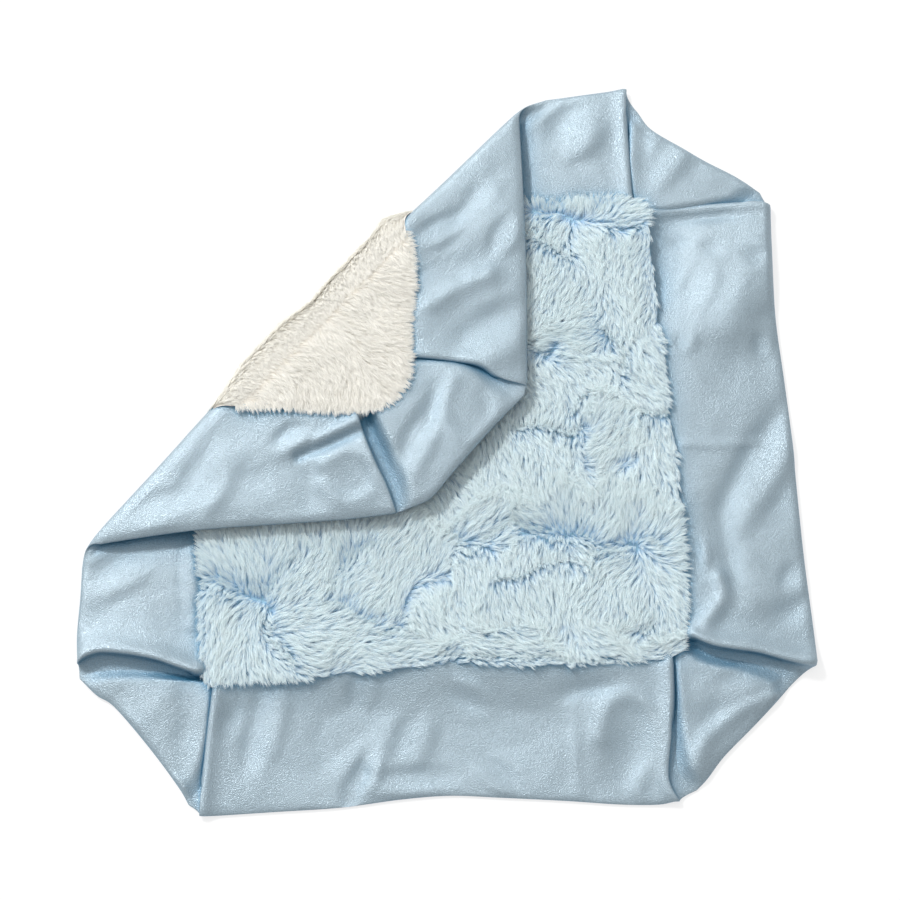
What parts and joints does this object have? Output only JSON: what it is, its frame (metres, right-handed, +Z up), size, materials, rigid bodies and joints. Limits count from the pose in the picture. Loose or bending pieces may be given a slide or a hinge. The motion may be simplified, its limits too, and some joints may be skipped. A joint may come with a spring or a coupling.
{
  "type": "comfort blanket lovey",
  "caption": "Square plush comfort blanket with a wide pleated satin border, lying flat with one corner folded back over itself.",
  "frame": {"origin": "centre of the square blanket, on the surface that it lies on", "axes": "+Z up, out of the blue plush face; +X to the right and +Y away from the viewer, along the blanket's sides"},
  "size_m": [0.396, 0.396, 0.0226],
  "materials": {
    "blue_plush": "long pile plush, matt",
    "cream_plush": "long pile plush, matt",
    "blue_satin": "satin weave, soft gloss",
    "seam_thread": "polyester thread"
  },
  "bodies": {
    "blanket": {"front_plush_panel": "blue_plush", "back_plush_panel": "cream_plush", "satin_band_left": "blue_satin", "satin_band_bottom": "blue_satin", "satin_band_right": "blue_satin", "satin_band_top": "blue_satin", "satin_corner_bottom_left": "blue_satin", "satin_corner_bottom_right": "blue_satin", "satin_corner_top_right": "blue_satin", "border_seam_thread": "seam_thread", "front_plush_fold": "blue_plush", "back_plush_fold": "cream_plush", "satin_fold_left": "blue_satin", "satin_fold_top": "blue_satin"},
    "turned_corner": {"front_plush_corner": "blue_plush", "back_plush_corner": "cream_plush", "satin_turned_left": "blue_satin", "satin_turned_top": "blue_satin", "satin_corner_top_left": "blue_satin", "turned_seam_thread": "seam_thread"}
  },
  "joints": [
    {"name": "corner_fold", "type": "hinge", "parent": "blanket", "child": "turned_corner", "pos_m": [-0.069, 0.069, 0.0113], "axis": [-0.7071, -0.7071, 0], "range_deg": [0, 180], "deforming": ["front_plush_fold", "back_plush_fold", "satin_fold_left", "satin_fold_top"]}
  ]
}
